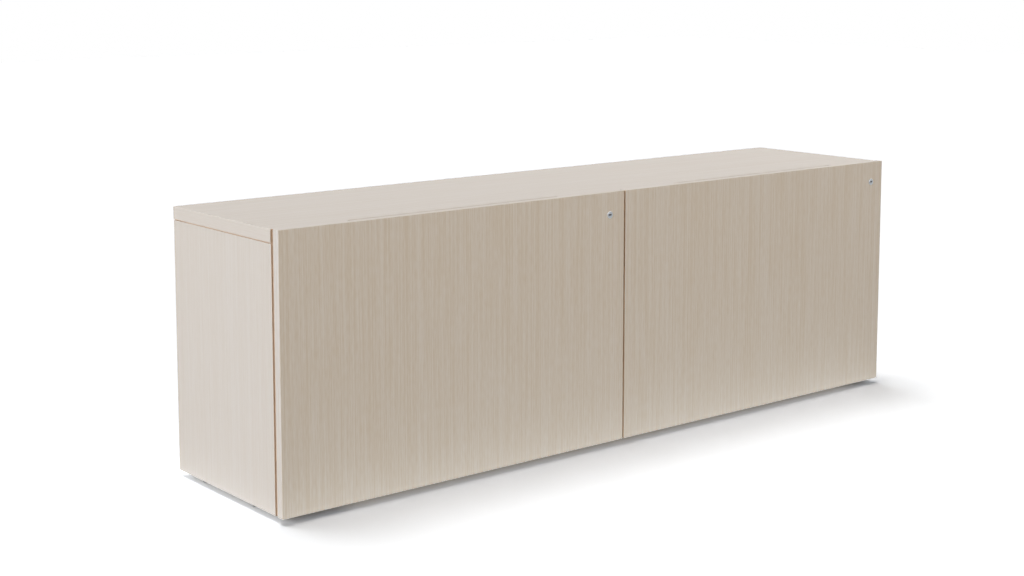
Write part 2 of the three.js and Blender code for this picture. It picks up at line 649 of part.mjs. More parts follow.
// A turned foot with a hexagon collar under the bottom panel and a stem that screws up into it.
function glide() {
  const collarTop = FLOOR_GAP - SEAT;
  const stemTop = bottomTop - STEM_SHORT;
  const foot = FOOT_DIAMETER / 2;
  const stem = STEM_DIAMETER / 2;
  const profile = [
    [0, 0],
    [foot - FOOT_ROUND, 0],
    [foot, FOOT_ROUND],
    [FOOT_SHOULDER / 2, FOOT_HEIGHT],
    [stem, FOOT_HEIGHT],
    [stem, stemTop],
    [0, stemTop],
  ].map(([r, z]) => new THREE.Vector2(r, z));
  const body = new THREE.LatheGeometry(profile, ROUND_SIDES).rotateX(Math.PI / 2);
  const collar = new THREE.ExtrudeGeometry(hexagon(COLLAR_FLATS), {
    depth: collarTop - FOOT_HEIGHT + OVERCUT,
    bevelEnabled: false,
  }).translate(0, 0, FOOT_HEIGHT - OVERCUT);
  return join(body, [collar]);
}

const credenza = new THREE.Group();
addCase(credenza);
for (const bay of BAYS) {
  const bayGroup = new THREE.Group();
  bayGroup.position.x = bay.side * bayMiddle;
  credenza.add(bayGroup);
  addPiece(bayGroup, `${bay.name}_counterweight`, counterweight(), DARK_STEEL);
  addPiece(bayGroup, `${bay.name}_lock_strike`, lockStrike(bay), ZINC);
  addSlides(bayGroup, bay);
  addPiece(bayGroup, `${bay.name}_drawer_front`, drawerFront(bay), LAMINATE);
  addBox(bayGroup, bay);
  addLock(bayGroup, bay);
}
for (const { name, x, y } of glideSpots()) {
  addPiece(credenza, name, glide(), FOOT_PLASTIC).position.set(x, y, 0);
}

export default credenza;
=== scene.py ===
"""A low office credenza dressed for its photograph: finishes, fine locks, glides, fasteners and a studio.

Laid out as an add-on and run as a script. Sizes are in metres, +Z is up and the drawer fronts face -Y.
"""
import math
from collections import namedtuple

import bmesh
import bpy
import numpy as np
from bpy.props import FloatProperty, FloatVectorProperty, IntProperty, PointerProperty
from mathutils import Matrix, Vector


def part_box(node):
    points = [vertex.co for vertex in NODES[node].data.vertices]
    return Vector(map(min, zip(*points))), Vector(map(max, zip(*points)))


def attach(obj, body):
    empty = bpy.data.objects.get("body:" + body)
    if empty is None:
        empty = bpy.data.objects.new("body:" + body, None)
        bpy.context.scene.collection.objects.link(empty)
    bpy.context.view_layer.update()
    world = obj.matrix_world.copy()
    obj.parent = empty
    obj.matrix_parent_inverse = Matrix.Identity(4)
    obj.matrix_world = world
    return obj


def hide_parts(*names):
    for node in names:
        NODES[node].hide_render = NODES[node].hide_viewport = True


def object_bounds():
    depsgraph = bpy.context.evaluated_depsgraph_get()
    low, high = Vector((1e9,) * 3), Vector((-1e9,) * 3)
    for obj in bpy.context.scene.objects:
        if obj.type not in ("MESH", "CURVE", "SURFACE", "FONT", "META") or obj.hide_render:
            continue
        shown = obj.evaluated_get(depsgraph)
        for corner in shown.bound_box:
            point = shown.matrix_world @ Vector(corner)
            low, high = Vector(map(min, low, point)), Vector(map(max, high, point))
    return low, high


bl_info = {
    "name": "Office Credenza",
    "version": (1, 0, 0),
    "blender": (4, 5, 0),
    "location": "View3D > Sidebar > Credenza",
    "description": "Finishes, small fasteners and studio of a low office credenza",
    "category": "Object",
}

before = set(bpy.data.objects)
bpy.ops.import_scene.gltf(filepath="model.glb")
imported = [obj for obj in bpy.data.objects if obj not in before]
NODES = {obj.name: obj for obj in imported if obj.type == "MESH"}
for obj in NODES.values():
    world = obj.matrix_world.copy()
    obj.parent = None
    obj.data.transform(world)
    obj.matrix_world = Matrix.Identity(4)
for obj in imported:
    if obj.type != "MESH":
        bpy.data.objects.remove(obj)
CAD_LOW, CAD_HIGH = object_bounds()
BAYS = ("left", "right")
SLIDE_HANDS = ("left", "right")
GLIDES = tuple(f"{column}_{row}" for column in ("left", "centre", "right") for row in ("front", "rear"))
MM = 0.001
IMAGE_WIDTH, IMAGE_HEIGHT = 1024, 576
SENSOR_WIDTH_MM = 36
GOLDEN_ANGLE = math.pi * (3 - math.sqrt(5))
# Where the shadow grooves of the ends lie, and the strip in the seam between the fronts.
END_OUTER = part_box("right_end_panel")[1].x
TOP_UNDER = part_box("top_panel")[0].z
GROOVE_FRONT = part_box("top_panel")[0].y - 0.5 * MM
GROOVE_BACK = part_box("top_panel")[0].y + 8.4 * MM
GROOVE_REACH = 6 * MM
GROOVE_HEIGHT = 2.2 * MM
SEAM_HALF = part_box("right_drawer_front")[0].x + 0.5 * MM
SEAM_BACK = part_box("right_drawer_front")[0].y + 6 * MM
# Part of a normal along an axis past which the surface counts as facing that way.
SQUARE_ON = 0.7

Skin = namedtuple("Skin", "points quads caps")


def colour(name, description, default):
    """A colour property in linear light."""
    return FloatVectorProperty(
        name=name, description=description, subtype="COLOR", size=3, min=0, max=1, default=default
    )


def length(name, description, millimetres):
    """A length property whose default is given in millimetres."""
    return FloatProperty(
        name=name, description=description, subtype="DISTANCE", unit="LENGTH", min=0, default=millimetres * MM
    )


def amount(name, description, default):
    """A plain number property."""
    return FloatProperty(name=name, description=description, default=default)


def number_of(name, description, default):
    """A property that counts pieces."""
    return IntProperty(name=name, description=description, default=default)


def angle(name, description, degrees):
    """An angle property whose default is given in degrees."""
    return FloatProperty(name=name, description=description, subtype="ANGLE", default=math.radians(degrees))


def pixels(name, description, default):
    """A length property in pixels of the photograph's frame."""
    return FloatProperty(name=name, description=description, subtype="PIXEL", default=default)


def direction(name, description, default):
    """A property for the direction that a lamp's light comes from."""
    return FloatVectorProperty(name=name, description=description, subtype="DIRECTION", default=default)


class LaminateFinish(bpy.types.PropertyGroup):
    """Whitened wood-grain laminate on the case and the drawer fronts."""

    pale: colour("Pale streaks", "Colour of the pale streaks of the grain", (0.608, 0.541, 0.467))
    warm: colour("Warm streaks", "Colour of the darker, warmer streaks", (0.552, 0.461, 0.361))
    # Bare core colour, lightened as painted warm bounce light in the shadow grooves.
    core: colour("Core", "Bare core of the boards, seen in the shadow grooves", (0.72, 0.53, 0.37))
    # Painted warm bounce light on the seam's edges: a colour paler than the bare core.
    seam: colour("Seam", "Foremost strip of the edges in the seam between the fronts", (0.79, 0.585, 0.395))
    streak_width: length("Streak width", "Width of a streak across the grain", 3.4)
    streak_length: length("Streak length", "Length of a streak along the grain", 130.0)
    roughness: amount("Roughness", "Middle roughness of the satin surface", 0.42)


class BoxFinish(bpy.types.PropertyGroup):
    """Pale plywood of the drawer boxes."""

    pale: colour("Pale wood", "Colour of the pale wood", (0.70, 0.63, 0.53))
    warm: colour("Warm wood", "Colour of the darker growth lines", (0.60, 0.52, 0.41))
    glue: colour("Cross plies", "Colour of the cross plies on a cut edge", (0.42, 0.34, 0.25))
    veneer: length("Veneer", "Thickness of one ply on a cut edge", 1.5)


class MetalFinish(bpy.types.PropertyGroup):
    """Metals and plastic of the hardware."""

    zinc: colour("Zinc", "Zinc plating of the slides, rails and screws", (0.60, 0.615, 0.63))
    zinc_dull: colour("Dull zinc", "Duller crystals of the plating", (0.46, 0.47, 0.485))
    nickel: colour("Nickel", "Satin nickel of the locks", (0.77, 0.79, 0.81))
    # Painted shade: the dark colour laid in the deep key slots.
    slot_shade: colour("Grime", "Dark grime in the key slots", (0.045, 0.043, 0.042))
    bearing: colour("Bearing steel", "Steel of the balls and their cages", (0.48, 0.485, 0.49))
    black: colour("Black paint", "Paint of the counterweights", (0.030, 0.030, 0.033))
    foot: colour("Foot", "Moulded plastic of the glides", (0.060, 0.047, 0.038))


class LockSizes(bpy.types.PropertyGroup):
    """Turned sizes of the cam locks."""

    barrel: length("Barrel diameter", "Threaded barrel of the housing", 14.6)
    head_bore: length("Head bore", "Counterbore round the plug's head", 13.1)
    plug_bore: length("Plug bore", "Bore of the housing behind the head", 9.7)
    head_depth: length("Head depth", "From the bezel's face to the end of the counterbore", 4.0)
    edge: length("Edge", "Radius of the bezel's outer edge", 0.55)
    plug: length("Plug diameter", "Body of the plug", 9.4)
    tail: length("Tail", "Width of the square tail", 6.5)
    slot_length: length("Key slot length", "Long side of the key slot", 9.4)
    slot_width: length("Key slot width", "Short side of the key slot", 2.8)
    slot_depth: length("Key slot depth", "Depth of the key slot", 12.0)


class GlideSizes(bpy.types.PropertyGroup):
    """Turned sizes of the levelling glides."""

    height: length("Foot height", "From the floor to the collar", 6.0)
    edge: length("Foot edge", "Radius of the foot's lower edge", 1.5)
    shoulder: length("Shoulder", "Diameter of the foot under the collar", 16.0)
    collar: length("Collar", "Across the flats of the hexagon collar", 13.0)
    collar_top: length("Collar top", "From the floor to the top of the collar", 12.3)
    stem: length("Stem", "Outer diameter of the thread", 8.0)
    pitch: length("Pitch", "Pitch of the thread", 1.25)
    thread: length("Thread depth", "Depth of the thread", 0.65)


class FastenerSizes(bpy.types.PropertyGroup):
    """Screws and bolts."""

    head: length("Screw head", "Diameter of a pan-head screw", 7.6)
    head_height: length("Screw head height", "Height of a pan-head screw", 1.7)
    cam_head: length("Cam screw head", "Diameter of the screw behind a lock's cam", 8.6)
    bolt_flats: length("Bolt flats", "Across the flats of a counterweight bolt", 13.0)
    bolt_height: length("Bolt head height", "Height of a counterweight bolt's head", 5.0)
    washer: length("Washer", "Diameter of the washer under a bolt", 17.0)
    back_columns: number_of("Back columns", "Screws along the back's top and foot", 9)
    back_rows: number_of("Back rows", "Screws up each upright of the back", 4)


class StudioSetup(bpy.types.PropertyGroup):
    """Camera, lamps and floor."""

    camera_place: FloatVectorProperty(
        name="Camera place",
        description="Where the camera stands",
        subtype="TRANSLATION",
        unit="LENGTH",
        default=(-2.5951, -3.0104, 1.1106),
    )
    camera_heading: angle("Heading", "Clockwise from +Y", 38.998)
    camera_tilt: angle("Tilt", "Below the horizon", 6.719)
    focal_pixels: pixels("Focal length", "Focal length of the camera", 1686.9)
    centre_row: pixels("Centre row", "Image row on the camera's axis", 160)
    ambient: amount("Ambient", "Strength of the surrounding light", 0.06)
    mirrored_front: amount("Mirrored front", "Brightness of the room in front, as surfaces mirror it", 0.85)
    mirrored_back: amount("Mirrored back", "Brightness of the backdrop, as surfaces mirror it", 0.92)
    mirrored_high: amount("Mirrored high", "Extra brightness overhead, as surfaces mirror it", 1.1)
    key_colour: colour("Key colour", "Colour of the lamp on the left", (0.82, 0.878, 0.982))
    key_strength: amount("Key strength", "Sun strength of the lamp on the left", 4.18)
    key_from: direction("Key from", "Direction of the lamp on the left", (-0.95, 0.22, 0.22))
    fill_colour: colour("Fill colour", "Colour of the lamps in front and on the right", (1.0, 0.966, 0.917))
    fill_strength: amount("Fill strength", "Sun strength of the lamp in front", 3.23)
    fill_from: direction("Fill from", "Direction of the lamp in front", (0.1, -0.99, 0.0))
    side_strength: amount("Side strength", "Sun strength of the lamp on the right", 1.2)
    side_from: direction("Side from", "Direction of the lamp on the right", (0.97, 0.22, 0.08))
    high_colour: colour("High colour", "Colour of the lamp overhead", (0.845, 0.892, 1.0))
    high_strength: amount("High strength", "Sun strength of the lamp overhead", 1.28)
    high_from: direction("High from", "Direction of the lamp overhead", (-0.03, 0.3, 0.95))
    ground_colour: colour("Ground colour", "Colour of the floor's own lamp", (0.974, 0.888, 0.76))
    ground_strength: amount("Ground strength", "Sun strength of the floor's own lamp", 1.59)
    ground_from: direction("Ground from", "Direction of the floor's own lamp", (-0.04, 0.27, 0.96))
    softness: angle("Softness", "Angle that the lamps on the left, in front and on the right span", 45)
    high_softness: angle("High softness", "Angle that the lamp overhead and the floor's own lamp span", 32)
    floor_bounce: amount("Floor bounce", "Share of light that the floor sends back", 0.9)
    floor_shown: amount("Floor shown", "Paleness of the floor to the camera", 2.2)
    floor_tint: colour("Floor tint", "Tint of the floor, which greys its shadow", (0.726, 0.823, 0.985))
    floor_glow: amount("Floor glow", "Extra light from the floor beside the object", 1.0)
    glow_reach: length("Glow reach", "How far the extra light spreads from the object", 250)
    glow_fall: amount("Glow fall", "How many times faster it fades beyond the ends", 6.0)
    glow_colour: colour("Glow colour", "Colour of that extra light", (0.78, 0.90, 1.0))
    shadow_colour: colour("Shadow colour", "Light that the floor shows in its shadow", (0.188, 0.162, 0.134))
    under_colour: colour("Under colour", "Light that it shows beside the left end", (0.50, 0.49, 0.48))
    under_reach: length("Under reach", "How far that light reaches under the end", 36)
    # Painted shadows: the dimmer light that the floor shows by the front's two lower corners.
    corner_shadow_colour: colour("Corner colour", "Light that it shows in the dark corners", (0.07, 0.056, 0.043))
    corner_inset: length("Corner inset", "From the object's ends to the middles of the dark corners", 60)
    corner_shift: length("Corner shift", "How far both dark corners lie to the right of that", 35)
    corner_reach: length("Corner reach", "Half the length of a dark corner", 105)
    floor_size: length("Floor size", "Side of the square floor", 30000)


# Shader nodes

def add_node(tree, kind, inputs=None, **settings):
    """A node with its settings, whose inputs are given as values or as the sockets that feed them."""
    made = tree.nodes.new(kind)
    for name, value in settings.items():
        setattr(made, name, value)
    for key, value in (inputs or {}).items():
        if isinstance(value, bpy.types.NodeSocket):
            tree.links.new(value, made.inputs[key])
        else:
            made.inputs[key].default_value = value
    return made


def node_output(tree, kind, inputs=None, output=0, **settings):
    """One output of a new node, by its number or name."""
    return add_node(tree, kind, inputs, **settings).outputs[output]


def calculate(tree, operation, *values):
    """Output of a Math node."""
    return node_output(tree, "ShaderNodeMath", dict(enumerate(values)), operation=operation)


def stretch(tree, value, low, high, to_low=0.0, to_high=1.0):
    """Output of a clamped Map Range node."""
    inputs = {"Value": value, "From Min": low, "From Max": high, "To Min": to_low, "To Max": to_high}
    return node_output(tree, "ShaderNodeMapRange", inputs, "Result")


def blend_colours(tree, factor, first, second):
    """Output of a colour Mix node. A plain colour is given as three numbers."""
    first, second = (c if isinstance(c, bpy.types.NodeSocket) else (*c, 1) for c in (first, second))
    return node_output(tree, "ShaderNodeMix", {0: factor, 6: first, 7: second}, 2, data_type="RGBA")


def scaled_noise(tree, vector, scale, detail=2.0):
    """Noise on a vector that is stretched by three factors first."""
    stretched = node_output(tree, "ShaderNodeVectorMath", {0: vector, 1: scale}, operation="MULTIPLY")
    inputs = {"Vector": stretched, "Scale": 1.0, "Detail": detail}
    return node_output(tree, "ShaderNodeTexNoise", inputs, "Fac")


def start_group(name, inputs, outputs):
    """An empty shader group with named sockets, and its two end nodes."""
    tree = bpy.data.node_groups.new(name, "ShaderNodeTree")
    for label, kind in inputs:
        tree.interface.new_socket(name=label, in_out="INPUT", socket_type=f"NodeSocket{kind}")
    for label, kind in outputs:
        tree.interface.new_socket(name=label, in_out="OUTPUT", socket_type=f"NodeSocket{kind}")
    return tree, tree.nodes.new("NodeGroupInput").outputs, tree.nodes.new("NodeGroupOutput").inputs


def straight_grain():
    """Group of thin lines along the vector's Z.

    Streak adds noise of three kinds: lines twelve times as long as a streak, the streaks themselves and
    broad, faint bands. Pore is noise of short dashes.
    """
    if "straight_grain" in bpy.data.node_groups:
        return bpy.data.node_groups["straight_grain"]
    tree, given, wanted = start_group(
        "straight_grain",
        [("Vector", "Vector"), ("Width", "Float"), ("Length", "Float")],
        [("Streak", "Float"), ("Pore", "Float")],
    )
    per_width = calculate(tree, "DIVIDE", 1.0, given["Width"])
    per_length = calculate(tree, "DIVIDE", 1.0, given["Length"])
    rates = node_output(tree, "ShaderNodeCombineXYZ", {0: per_width, 1: per_width, 2: per_length})
    inputs = {0: given["Vector"], 1: rates}
    vector = node_output(tree, "ShaderNodeVectorMath", inputs, operation="MULTIPLY")
    lines = scaled_noise(tree, vector, (1.0, 1.0, 0.08), 0.0)
    streaks = scaled_noise(tree, vector, (1.1, 1.1, 1.0), 0.0)
    bands = scaled_noise(tree, vector, (0.11, 0.11, 0.06), 1.0)
    fine = calculate(tree, "MULTIPLY_ADD", lines, 0.48, calculate(tree, "MULTIPLY", streaks, 0.36))
    mixed = calculate(tree, "MULTIPLY_ADD", bands, 0.16, fine)
    tree.links.new(stretch(tree, mixed, 0.34, 0.66), wanted["Streak"])
    dashes = scaled_noise(tree, vector, (1.3, 1.3, 6.0), 0.0)
    tree.links.new(stretch(tree, dashes, 0.25, 0.75), wanted["Pore"])
    return tree


def surface_wear():
    """Group of the marks that handling leaves on metal: long faint scuffs and a cloud of patches."""
    if "surface_wear" in bpy.data.node_groups:
        return bpy.data.node_groups["surface_wear"]
    tree, given, wanted = start_group(
        "surface_wear", [("Vector", "Vector")], [("Scuff", "Float"), ("Patch", "Float")]
    )
    scuffs = scaled_noise(tree, given["Vector"], (900.0, 14.0, 900.0), 2.0)
    patches = scaled_noise(tree, given["Vector"], (120.0, 120.0, 120.0), 3.0)
    tree.links.new(stretch(tree, scuffs, 0.35, 0.65), wanted["Scuff"])
    tree.links.new(stretch(tree, patches, 0.38, 0.62), wanted["Patch"])
    return tree


def start_material(name):
    """A new material, its node tree and its shader."""
    made = bpy.data.materials.new(name)
    made.use_nodes = True
    return made, made.node_tree, made.node_tree.nodes["Principled BSDF"]


def feed(shader, socket, value):
    """Links a value to an input of a shader."""
    shader.id_data.links.new(value, shader.inputs[socket])


def object_place(tree):
    """A point of the surface in the object's own coordinates."""
    return node_output(tree, "ShaderNodeTexCoord", output="Object")


def parts_of(tree, vector):
    """X, Y and Z of a vector, by name."""
    return dict(zip("XYZ", add_node(tree, "ShaderNodeSeparateXYZ", {0: vector}).outputs))


def facing(tree, axis):
    """1 where the surface faces along an axis, and 0 elsewhere."""
    normal = parts_of(tree, node_output(tree, "ShaderNodeNewGeometry", output="Normal"))
    return calculate(tree, "GREATER_THAN", calculate(tree, "ABSOLUTE", normal[axis]), SQUARE_ON)


def grain_on_board(tree, across, depth, along, width, length_along):
    """Streak and pore of a board whose grain runs along one axis, and the object's axes.

    The tape on its cut ends has its grain across the board.
    """
    axes = parts_of(tree, object_place(tree))
    face, tape = (
        node_output(tree, "ShaderNodeCombineXYZ", {i: axes[axis] for i, axis in enumerate(order)})
        for order in ((across, depth, along), (depth, along, across))
    )
    ends = {0: facing(tree, along), 4: face, 5: tape}
    vector = node_output(tree, "ShaderNodeMix", ends, 1, data_type="VECTOR")
    inputs = {"Vector": vector, "Width": width, "Length": length_along}
    grain = add_node(tree, "ShaderNodeGroup", inputs, node_tree=straight_grain())
    return grain.outputs["Streak"], grain.outputs["Pore"], axes


def bump(tree, shader, height, strength, distance):
    """Raises the surface by a height map, for the shader's normal."""
    inputs = {"Height": height, "Strength": strength, "Distance": distance}
    feed(shader, "Normal", node_output(tree, "ShaderNodeBump", inputs))


def within(tree, value, low, high):
    """1 where a value lies between two limits, and 0 elsewhere."""
    above = calculate(tree, "GREATER_THAN", value, low)
    return calculate(tree, "MULTIPLY", above, calculate(tree, "LESS_THAN", value, high))


def laminate(name, look, across, depth, along, contrast):
    """Satin laminate: streaks between two colours, fine pressed pores, and a gloss that follows the grain.

    In the shadow grooves, which lie inside the outer faces of the ends, the bare speckled core shows instead,
    in a colour that is lightened as painted warm bounce light.
    The edges that meet in the seam between the two fronts have a strip of a colour of their own: the core's
    colour made paler as painted warm bounce light in the seam.
    """
    made, tree, shader = start_material(name)
    streak, pore, axes = grain_on_board(tree, across, depth, along, look.streak_width, look.streak_length)
    figure = calculate(tree, "MULTIPLY_ADD", pore, 0.35, calculate(tree, "MULTIPLY", streak, 0.65))
    share = calculate(tree, "MULTIPLY_ADD", calculate(tree, "SUBTRACT", figure, 0.5), contrast, 0.5)
    figured = blend_colours(tree, share, look.pale, look.warm)
    chips_per_metre = 900.0
    chips = scaled_noise(tree, object_place(tree), (chips_per_metre,) * 3, 2.0)
    # Speckles of the bare core colour, which also carries painted warm bounce light in the grooves.
    darker_core_and_bounce = tuple(0.8 * c for c in look.core)
    core = blend_colours(tree, stretch(tree, chips, 0.4, 0.6), look.core, darker_core_and_bounce)
    out = calculate(tree, "ABSOLUTE", axes["X"])
    beside = within(tree, out, END_OUTER - GROOVE_REACH, END_OUTER - 0.2 * MM)
    behind = calculate(tree, "MULTIPLY", beside, calculate(tree, "GREATER_THAN", axes["Y"], GROOVE_FRONT))
    ahead = calculate(tree, "LESS_THAN", axes["Y"], GROOVE_BACK)
    under = within(tree, axes["Z"], TOP_UNDER - GROOVE_HEIGHT, TOP_UNDER - 0.1 * MM)
    groove = calculate(tree, "MULTIPLY", behind, calculate(tree, "MAXIMUM", ahead, under))
    # Painted warm bounce light: the foremost strip of the edges in the seam gets the seam colour.
    foremost = calculate(tree, "LESS_THAN", axes["Y"], SEAM_BACK)
    strip = calculate(tree, "MULTIPLY", facing(tree, "X"), foremost)
    seam = calculate(tree, "MULTIPLY", strip, calculate(tree, "LESS_THAN", out, SEAM_HALF))
    grooved = blend_colours(tree, groove, figured, core)
    feed(shader, "Base Color", blend_colours(tree, seam, grooved, look.seam))
    rough = stretch(tree, streak, 0.0, 1.0, look.roughness - 0.04, look.roughness + 0.05)
    feed(shader, "Roughness", rough)
    height = calculate(tree, "MULTIPLY_ADD", streak, -0.5, calculate(tree, "MULTIPLY", pore, -0.5))
    bump(tree, shader, height, 0.10, 0.12 * MM)
    return made


def plywood(name, look, across, depth, along):
    """Pale plywood: quiet grain on the faces, and plies in turn on every edge that isn't a face."""
    made, tree, shader = start_material(name)
    line_width, line_length = 9 * MM, 160 * MM
    streak, pore, axes = grain_on_board(tree, across, depth, along, line_width, line_length)
    face = blend_colours(tree, streak, look.pale, look.warm)
    turn = calculate(tree, "FRACT", calculate(tree, "DIVIDE", axes[depth], 2 * look.veneer))
    ply = stretch(tree, calculate(tree, "ABSOLUTE", calculate(tree, "SUBTRACT", turn, 0.5)), 0.22, 0.28)
    edge = blend_colours(tree, calculate(tree, "MULTIPLY", ply, 0.6), face, look.glue)
    feed(shader, "Base Color", blend_colours(tree, facing(tree, depth), edge, face))
    feed(shader, "Roughness", stretch(tree, streak, 0.0, 1.0, 0.5, 0.6))
    bump(tree, shader, calculate(tree, "MULTIPLY", pore, -1.0), 0.2, 0.1 * MM)
    return made


def worn_metal(name, bright, dull, rough_low, rough_high):
    """Plated metal: crystals between two colours, and scuffs along Y that change its gloss."""
    made, tree, shader = start_material(name)
    wear = add_node(tree, "ShaderNodeGroup", {"Vector": object_place(tree)}, node_tree=surface_wear())
    feed(shader, "Base Color", blend_colours(tree, wear.outputs["Patch"], bright, dull))
    feed(shader, "Roughness", stretch(tree, wear.outputs["Scuff"], 0, 1, rough_low, rough_high))
    shader.inputs["Metallic"].default_value = 1.0
    bump(tree, shader, wear.outputs["Scuff"], 0.05, 0.05 * MM)
    return made


def turned_nickel(name, look, centre, face, slot_reach):
    """Satin nickel with the fine rings of a lathe round a lock's axis, and painted shade, dark, in the key
    slot.
    """
    made, tree, shader = start_material(name)
    place = object_place(tree)
    inputs = {"Vector": place, "Location": (-centre.x, 0, -centre.z)}
    moved = node_output(tree, "ShaderNodeMapping", inputs)
    flat = node_output(tree, "ShaderNodeVectorMath", {0: moved, 1: (1.0, 0.0, 1.0)}, operation="MULTIPLY")
    radius = node_output(tree, "ShaderNodeVectorMath", {0: flat}, "Value", operation="LENGTH")
    rings_per_metre = 5200.0
    inputs = {"W": radius, "Scale": rings_per_metre, "Detail": 2.0}
    rings = node_output(tree, "ShaderNodeTexNoise", inputs, "Fac", noise_dimensions="1D")
    pale = tuple(min(1.0, 1.12 * c) for c in look.nickel)
    dark = tuple(0.9 * c for c in look.nickel)
    worn = blend_colours(tree, rings, dark, pale)
    # Painted shade: the deep inside of the key slot is laid dark.
    sunk = stretch(tree, parts_of(tree, place)["Y"], face + 0.2 * MM, face + 0.7 * MM)
    shaded_slot = calculate(tree, "MULTIPLY", sunk, calculate(tree, "LESS_THAN", radius, slot_reach))
    feed(shader, "Base Color", blend_colours(tree, shaded_slot, worn, look.slot_shade))
    feed(shader, "Roughness", stretch(tree, rings, 0.3, 0.7, 0.28, 0.42))
    shader.inputs["Metallic"].default_value = 1.0
    bump(tree, shader, rings, 0.12, 0.03 * MM)
    return made


def moulded(name, base, grain_size, rough, strength):
    """Moulded or sprayed skin: one colour with a slight cloud, and an even fine texture."""
    made, tree, shader = start_material(name)
    place = object_place(tree)
    clouds_per_metre = 60.0
    cloud = scaled_noise(tree, place, (clouds_per_metre,) * 3, 3.0)
    skin = scaled_noise(tree, place, (1 / grain_size,) * 3, 2.0)
    light = tuple(min(1.0, 1.3 * c) for c in base)
    dark = tuple(0.75 * c for c in base)
    feed(shader, "Base Color", blend_colours(tree, cloud, dark, light))
    feed(shader, "Roughness", stretch(tree, skin, 0.3, 0.7, rough - 0.06, rough + 0.08))
    bump(tree, shader, skin, strength, 0.1 * MM)
    return made


def zinc_plate(metals):
    """The one zinc-plated material that the slides, rails and screws share."""
    if "zinc_plate" in bpy.data.materials:
        return bpy.data.materials["zinc_plate"]
    return worn_metal("zinc_plate", metals.zinc, metals.zinc_dull, 0.24, 0.4)


def dress(material, *nodes):
    """Gives a material to CAD nodes as they stand."""
    for name in nodes:
        NODES[name].data.materials.clear()
        NODES[name].data.materials.append(material)


# Surfaces

def loft(rings):
    """Skin over a stack of closed rings, flat at both ends.

    rings[i, j] is point j of ring i. Each quad joins points j and j + 1 of two neighbouring rings. One face
    closes the first ring and one the last.
    """
    index = np.arange(rings.shape[0] * rings.shape[1]).reshape(rings.shape[:2])
    beside = np.roll(index, -1, axis=1)
    quads = np.stack([index[:-1], beside[:-1], beside[1:], index[1:]], axis=-1).reshape(-1, 4)
    return Skin(rings.reshape(-1, 3), quads, index[[0, -1]])


def hoop(rings):
    """Skin over a stack of closed rings whose last ring joins the first, as on a tube bent into a ring."""
    index = np.arange(rings.shape[0] * rings.shape[1]).reshape(rings.shape[:2])
    beside, after = np.roll(index, -1, axis=1), np.roll(index, -1, axis=0)
    quads = np.stack([index, beside, np.roll(beside, -1, axis=0), after], axis=-1).reshape(-1, 4)
    return Skin(rings.reshape(-1, 3), quads, np.zeros((0, rings.shape[1]), int))


def angles(count):
    """Angles of count points round a circle, from 0."""
    return np.arange(count) * (2 * math.pi / count)


def rings_of(radii, heights):
    """Rings about Z: radii[i, j] is the distance of point j of ring i from the axis, at heights[i]."""
    turn = angles(radii.shape[1])
    levels = np.broadcast_to(np.asarray(heights)[:, None], radii.shape)
    return np.stack([radii * np.cos(turn), radii * np.sin(turn), levels], axis=-1)


def round_rings(profile, count):
    """Rings of a turned piece: each (radius, height) of the profile is one circle about Z."""
    radii, heights = np.asarray(profile, float).T
    return rings_of(np.repeat(radii[:, None], count, axis=1), heights)


def corner_arc(radius, height, size, start, steps=6):
    """Points (radius, height) of a quarter circle about a centre, from an angle in degrees."""
    turn = np.radians(np.linspace(start, start + 90, steps))
    return np.stack([radius + size * np.cos(turn), height + size * np.sin(turn)], axis=-1)


def hexagon_radii(flats, count):
    """Distance from middle to rim of a hexagon: half the flats over the cosine from the nearest flat."""
    sixth = math.pi / 3
    off = (angles(count) + sixth / 2) % sixth - sixth / 2
    return flats / 2 / np.cos(off)


def square_radii(side, count):
    """Distance from middle to rim of a square: half the side over the larger of cosine and sine."""
    turn = angles(count)
    return side / 2 / np.maximum(np.abs(np.cos(turn)), np.abs(np.sin(turn)))


def pan_head(diameter, height, count=32):
    """A pan-head screw with a cross recess, standing on Z = 0.

    The top is a dome, height times (1 - 0.45 (r / R) ^ 4). A cross with sloping walls is pressed 0.7 of the
    height into it: each arm is 1 inside its outline and falls to 0 over a narrow slope. The rim drops to
    Z = 0.
    """
    rim = diameter / 2
    smallest, ring_count = 0.04, 14
    reach = np.linspace(smallest, 1.0, ring_count) * rim
    flat = np.repeat(reach[:, None], count, axis=1)
    x, y = flat * np.cos(angles(count)), flat * np.sin(angles(count))
    arm, half_width, slope = 0.56 * rim, 0.13 * rim, 0.10 * rim

    def pressed(u, v):
        across = np.clip((half_width - np.abs(u)) / slope + 1, 0, 1)
        return across * np.clip((arm - np.abs(v)) / slope + 1, 0, 1)

    dome = height * (1 - 0.45 * (flat / rim) ** 4)
    top = dome - 0.7 * height * np.maximum(pressed(x, y), pressed(y, x))
    foot = np.stack([x[-1], y[-1], np.zeros(count)], axis=-1)
    return loft(np.concatenate([np.stack([x, y, top], axis=-1), foot[None]]))


def hexagon_bolt(flats, height, washer, count=48):
    """A hexagon bolt head on a washer, standing on Z = 0: rings of washer, hexagon and turned chamfer."""
    gauge, chamfer = 1.6 * MM, 0.8 * MM
    hexagon = hexagon_radii(flats, count)
    washer_rim = np.full(count, washer / 2)
    crown = np.minimum(hexagon, 0.53 * flats)
    radii = np.stack([washer_rim, washer_rim, hexagon, hexagon, crown, np.full(count, 0.46 * flats)])
    top = gauge + height
    return loft(rings_of(radii, [0, gauge, gauge, top - chamfer, top - chamfer / 3, top]))


def outward_basis(outward):
    """Rows of a turn that takes +Z to an outward direction."""
    third = np.asarray(outward, float)
    first = np.cross(third, (0, 0, 1)) if abs(third[2]) < 0.9 else np.array([1.0, 0, 0])
    first /= np.linalg.norm(first)
    return np.stack([first, np.cross(third, first), third])


